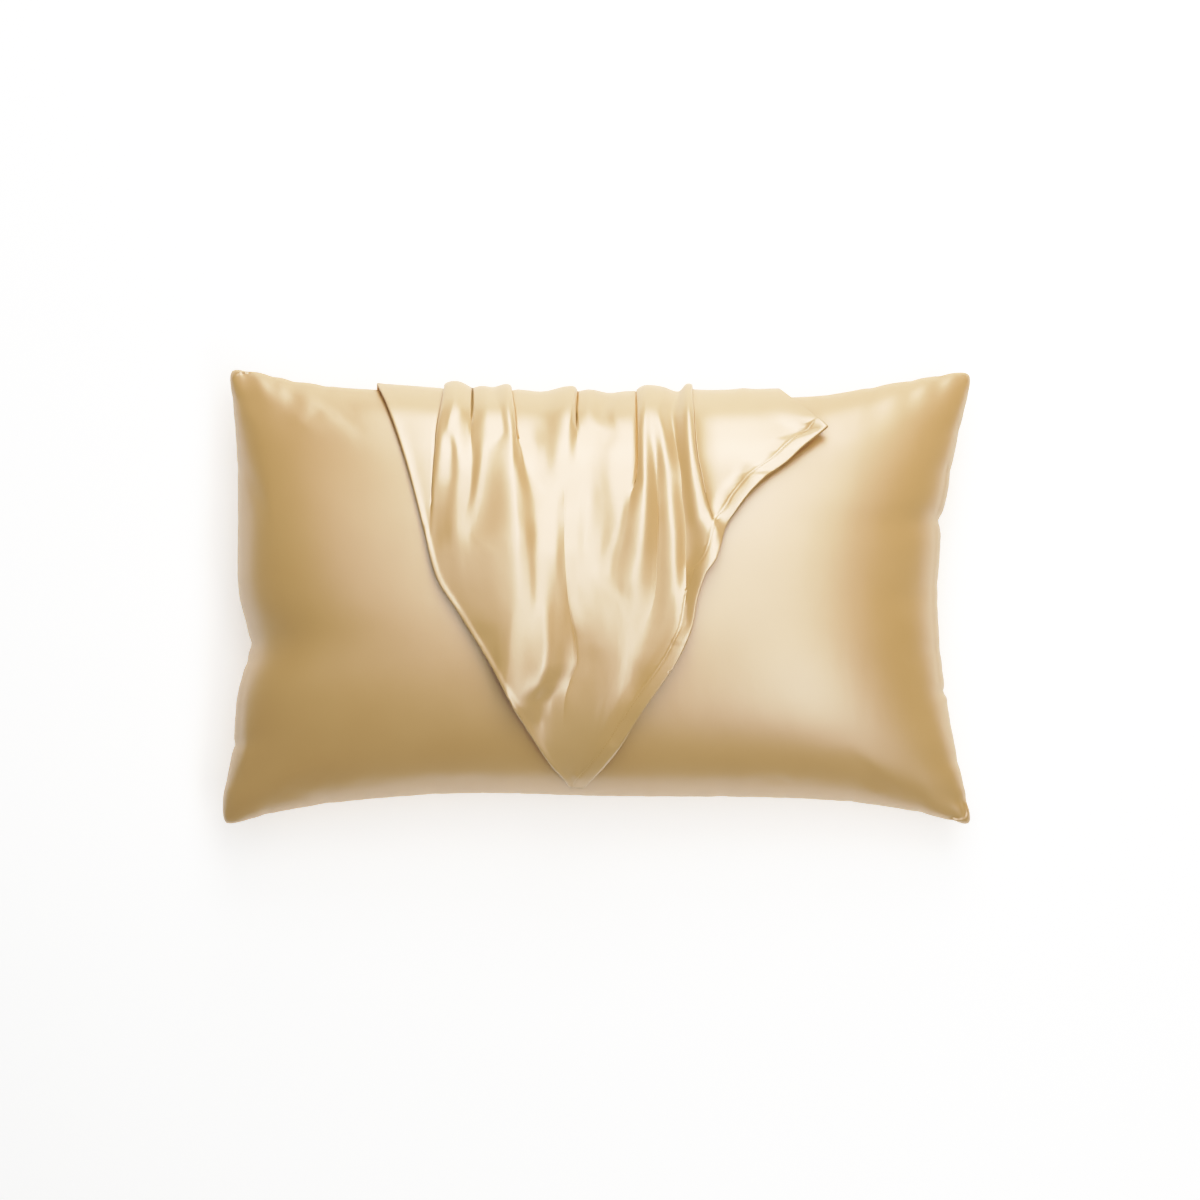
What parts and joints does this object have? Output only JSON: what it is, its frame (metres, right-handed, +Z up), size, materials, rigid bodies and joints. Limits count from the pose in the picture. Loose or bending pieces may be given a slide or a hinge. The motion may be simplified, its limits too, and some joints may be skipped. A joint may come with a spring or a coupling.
{
  "type": "pillowcase draped over a pillow",
  "caption": "Pale gold satin pillowcase hanging corner down, in soft folds, over the long edge of a filled pillow in a fitted cover of the same satin.",
  "frame": {"origin": "on the floor under the middle of the pillow, which lies on its back", "axes": "+X along the pillow, +Y towards the long edge that the case falls over, +Z up out of the pillow's face"},
  "size_m": [0.7109, 0.4362, 0.1631],
  "materials": {
    "pillow": "satin",
    "case_front_panel": "satin",
    "case_back_panel": "satin"
  },
  "bodies": {
    "root": {"pillow": "pillow", "case_front_panel": "case_front_panel", "case_back_panel": "case_back_panel"}
  },
  "joints": []
}
